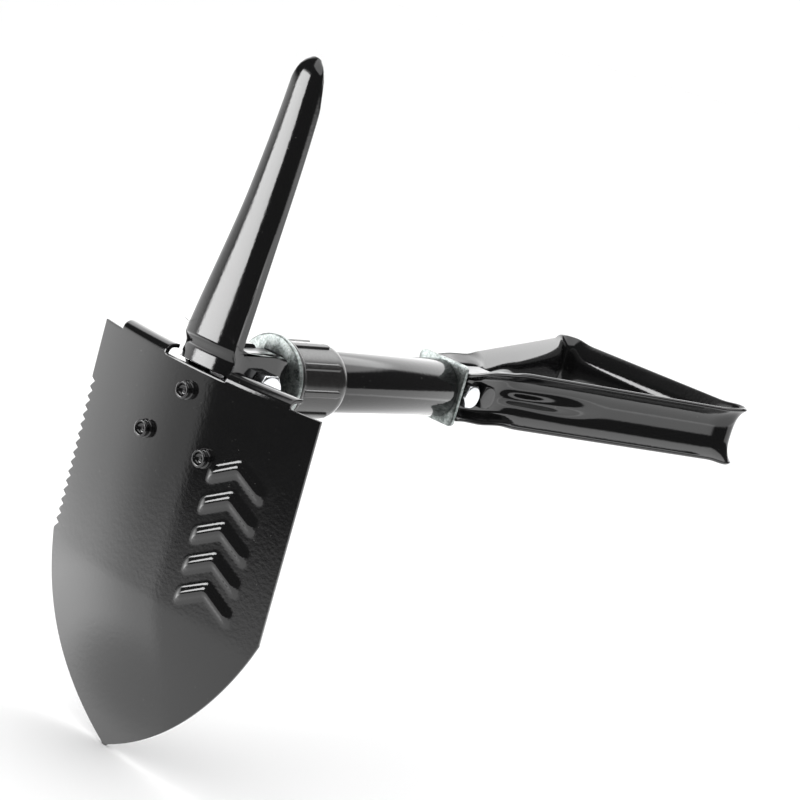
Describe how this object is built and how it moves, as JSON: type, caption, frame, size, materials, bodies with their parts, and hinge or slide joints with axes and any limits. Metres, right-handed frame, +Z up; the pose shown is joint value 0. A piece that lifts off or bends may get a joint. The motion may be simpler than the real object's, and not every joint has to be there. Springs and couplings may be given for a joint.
{
  "type": "folding camp shovel",
  "caption": "Folding camp shovel with a pointed saw-edged blade, a channel pick, a screw collar that locks them and a triangular D handle.",
  "frame": {"origin": "middle of the shovel's underside, level with the blade's point, in the hoe-and-pick set-up", "axes": "+X across the blade (the saw edge is at -X), +Y along the tube from the hinge to the D handle, +Z up along the pick; the hinge axis is parallel to X at y = -0.13425 m, z = 0.1579 m"},
  "size_m": [0.126, 0.3248, 0.288],
  "materials": {
    "black_powder_coat": "gloss powder coat",
    "galvanised_zinc": "mottled galvanised",
    "bright_zinc": "bright zinc plate",
    "plain_steel": "oiled mild steel",
    "black_plastic": "moulded gloss"
  },
  "bodies": {
    "shaft": {"shaft_tube": "black_powder_coat", "hinge_tongue": "plain_steel", "front_plug": "plain_steel", "tongue_pin": "plain_steel", "hinge_bolt": "bright_zinc", "hinge_nut": "bright_zinc", "hinge_spacer_near": "bright_zinc", "hinge_spacer_far": "bright_zinc", "end_plate": "galvanised_zinc", "handle_tang": "plain_steel", "handle_loop": "black_powder_coat", "handle_bolt": "bright_zinc", "handle_nut": "bright_zinc", "tie_bolt": "black_powder_coat", "tie_nut": "black_powder_coat"},
    "pick": {"pick": "black_powder_coat"},
    "blade": {"blade_plate": "black_powder_coat", "blade_bracket": "black_powder_coat", "blade_rivet_top": "black_powder_coat", "blade_rivet_left": "black_powder_coat", "blade_rivet_right": "black_powder_coat"},
    "washer": {"lock_washer": "galvanised_zinc"},
    "collar": {"lock_collar": "black_plastic"}
  },
  "joints": [
    {"name": "pick_fold", "type": "hinge", "parent": "shaft", "child": "pick", "pos_m": [0, -0.13425, 0.1579], "axis": [1, 0, 0], "range_deg": [-82, 8]},
    {"name": "blade_fold", "type": "hinge", "parent": "pick", "child": "blade", "pos_m": [0, -0.13425, 0.1579], "axis": [1, 0, 0], "range_deg": [-8, 82]},
    {"name": "washer_slide", "type": "slide", "parent": "shaft", "child": "washer", "axis": [0, 1, 0], "range_m": [-0.0028, 0.004]},
    {"name": "collar_turn", "type": "hinge", "parent": "washer", "child": "collar", "pos_m": [0, -0.11, 0.1579], "axis": [0, 1, 0], "range_deg": [-252, 360]}
  ],
  "couplings": [
    {"joint": "washer_slide", "follows": "collar_turn", "m_per_rad": 0.0006366}
  ]
}
